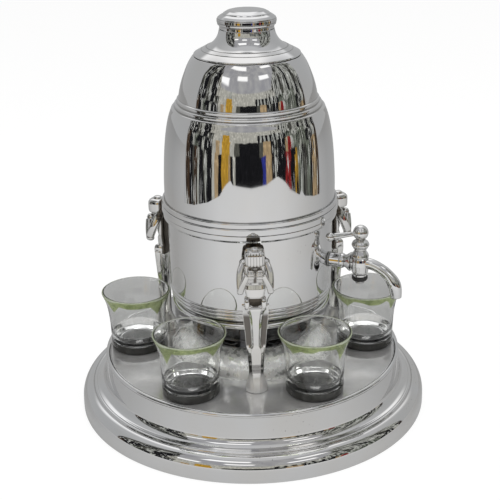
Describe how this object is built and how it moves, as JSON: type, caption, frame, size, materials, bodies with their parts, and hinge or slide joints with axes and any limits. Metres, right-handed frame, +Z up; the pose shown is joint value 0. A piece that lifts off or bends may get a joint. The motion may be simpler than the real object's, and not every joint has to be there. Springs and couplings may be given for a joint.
{
  "type": "samovar decanter with glasses",
  "caption": "Chrome samovar decanter with a beehive tank, lift-off lid and tap, on a round plinth with cast standing figures and flared glasses on black feet.",
  "frame": {"origin": "centre of the plinth's foot, on the table", "axes": "+Z up; the front figure faces -Y and the tap reaches out towards +X and -Y"},
  "size_m": [0.2686, 0.2686, 0.302],
  "materials": {
    "chrome": "polished plating",
    "steel": "plain",
    "brass": "plain",
    "rubber": "matt",
    "black": "gloss",
    "clear": "clear"
  },
  "bodies": {
    "stand": {"base_plinth": "chrome", "neck_drum": "chrome", "tank_foot_ring": "chrome", "centre_stud": "brass", "centre_washer": "steel", "centre_nut": "brass", "tank_lower_shell": "chrome", "mid_band": "chrome", "tank_upper_shell": "chrome", "figure_front": "chrome", "figure_front_screw": "steel", "figure_front_washer": "steel", "figure_left": "chrome", "figure_left_screw": "steel", "figure_left_washer": "steel", "figure_right": "chrome", "figure_right_screw": "steel", "figure_right_washer": "steel", "tap_shank": "chrome", "tap_gasket": "rubber", "tap_seal": "rubber", "tap_nut": "brass", "tap_body": "chrome"},
    "lid": {"lid_dome": "chrome", "lid_knob": "chrome", "knob_screw": "steel", "knob_washer": "steel"},
    "tap_key": {"tap_key": "chrome", "tap_lever": "chrome", "tap_washer": "black", "tap_screw": "steel"},
    "glass_1": {"glass_1": "clear", "glass_foot_1": "black"},
    "glass_2": {"glass_2": "clear", "glass_foot_2": "black"},
    "glass_3": {"glass_3": "clear", "glass_foot_3": "black"},
    "glass_4": {"glass_4": "clear", "glass_foot_4": "black"},
    "glass_5": {"glass_5": "clear", "glass_foot_5": "black"},
    "glass_6": {"glass_6": "clear", "glass_foot_6": "black"}
  },
  "joints": [
    {"name": "lid_lift", "type": "slide", "parent": "stand", "child": "lid", "axis": [0, 0, 1], "range_m": [0, 0.06]},
    {"name": "tap_turn", "type": "hinge", "parent": "stand", "child": "tap_key", "pos_m": [0.07955, -0.03214, 0.1205], "axis": [0, 0, 1], "range_deg": [0, 90]},
    {"name": "glass_1_lift", "type": "slide", "parent": "stand", "child": "glass_1", "axis": [-0.3747, -0.5997, 0.7071], "range_m": [0, 0.11]},
    {"name": "glass_2_lift", "type": "slide", "parent": "stand", "child": "glass_2", "axis": [0.332, -0.6243, 0.7071], "range_m": [0, 0.11]},
    {"name": "glass_3_lift", "type": "slide", "parent": "stand", "child": "glass_3", "axis": [0.7067, -0.0247, 0.7071], "range_m": [0, 0.11]},
    {"name": "glass_4_lift", "type": "slide", "parent": "stand", "child": "glass_4", "axis": [0.3747, 0.5997, 0.7071], "range_m": [0, 0.11]},
    {"name": "glass_5_lift", "type": "slide", "parent": "stand", "child": "glass_5", "axis": [-0.332, 0.6243, 0.7071], "range_m": [0, 0.11]},
    {"name": "glass_6_lift", "type": "slide", "parent": "stand", "child": "glass_6", "axis": [-0.7067, 0.0247, 0.7071], "range_m": [0, 0.11]}
  ]
}
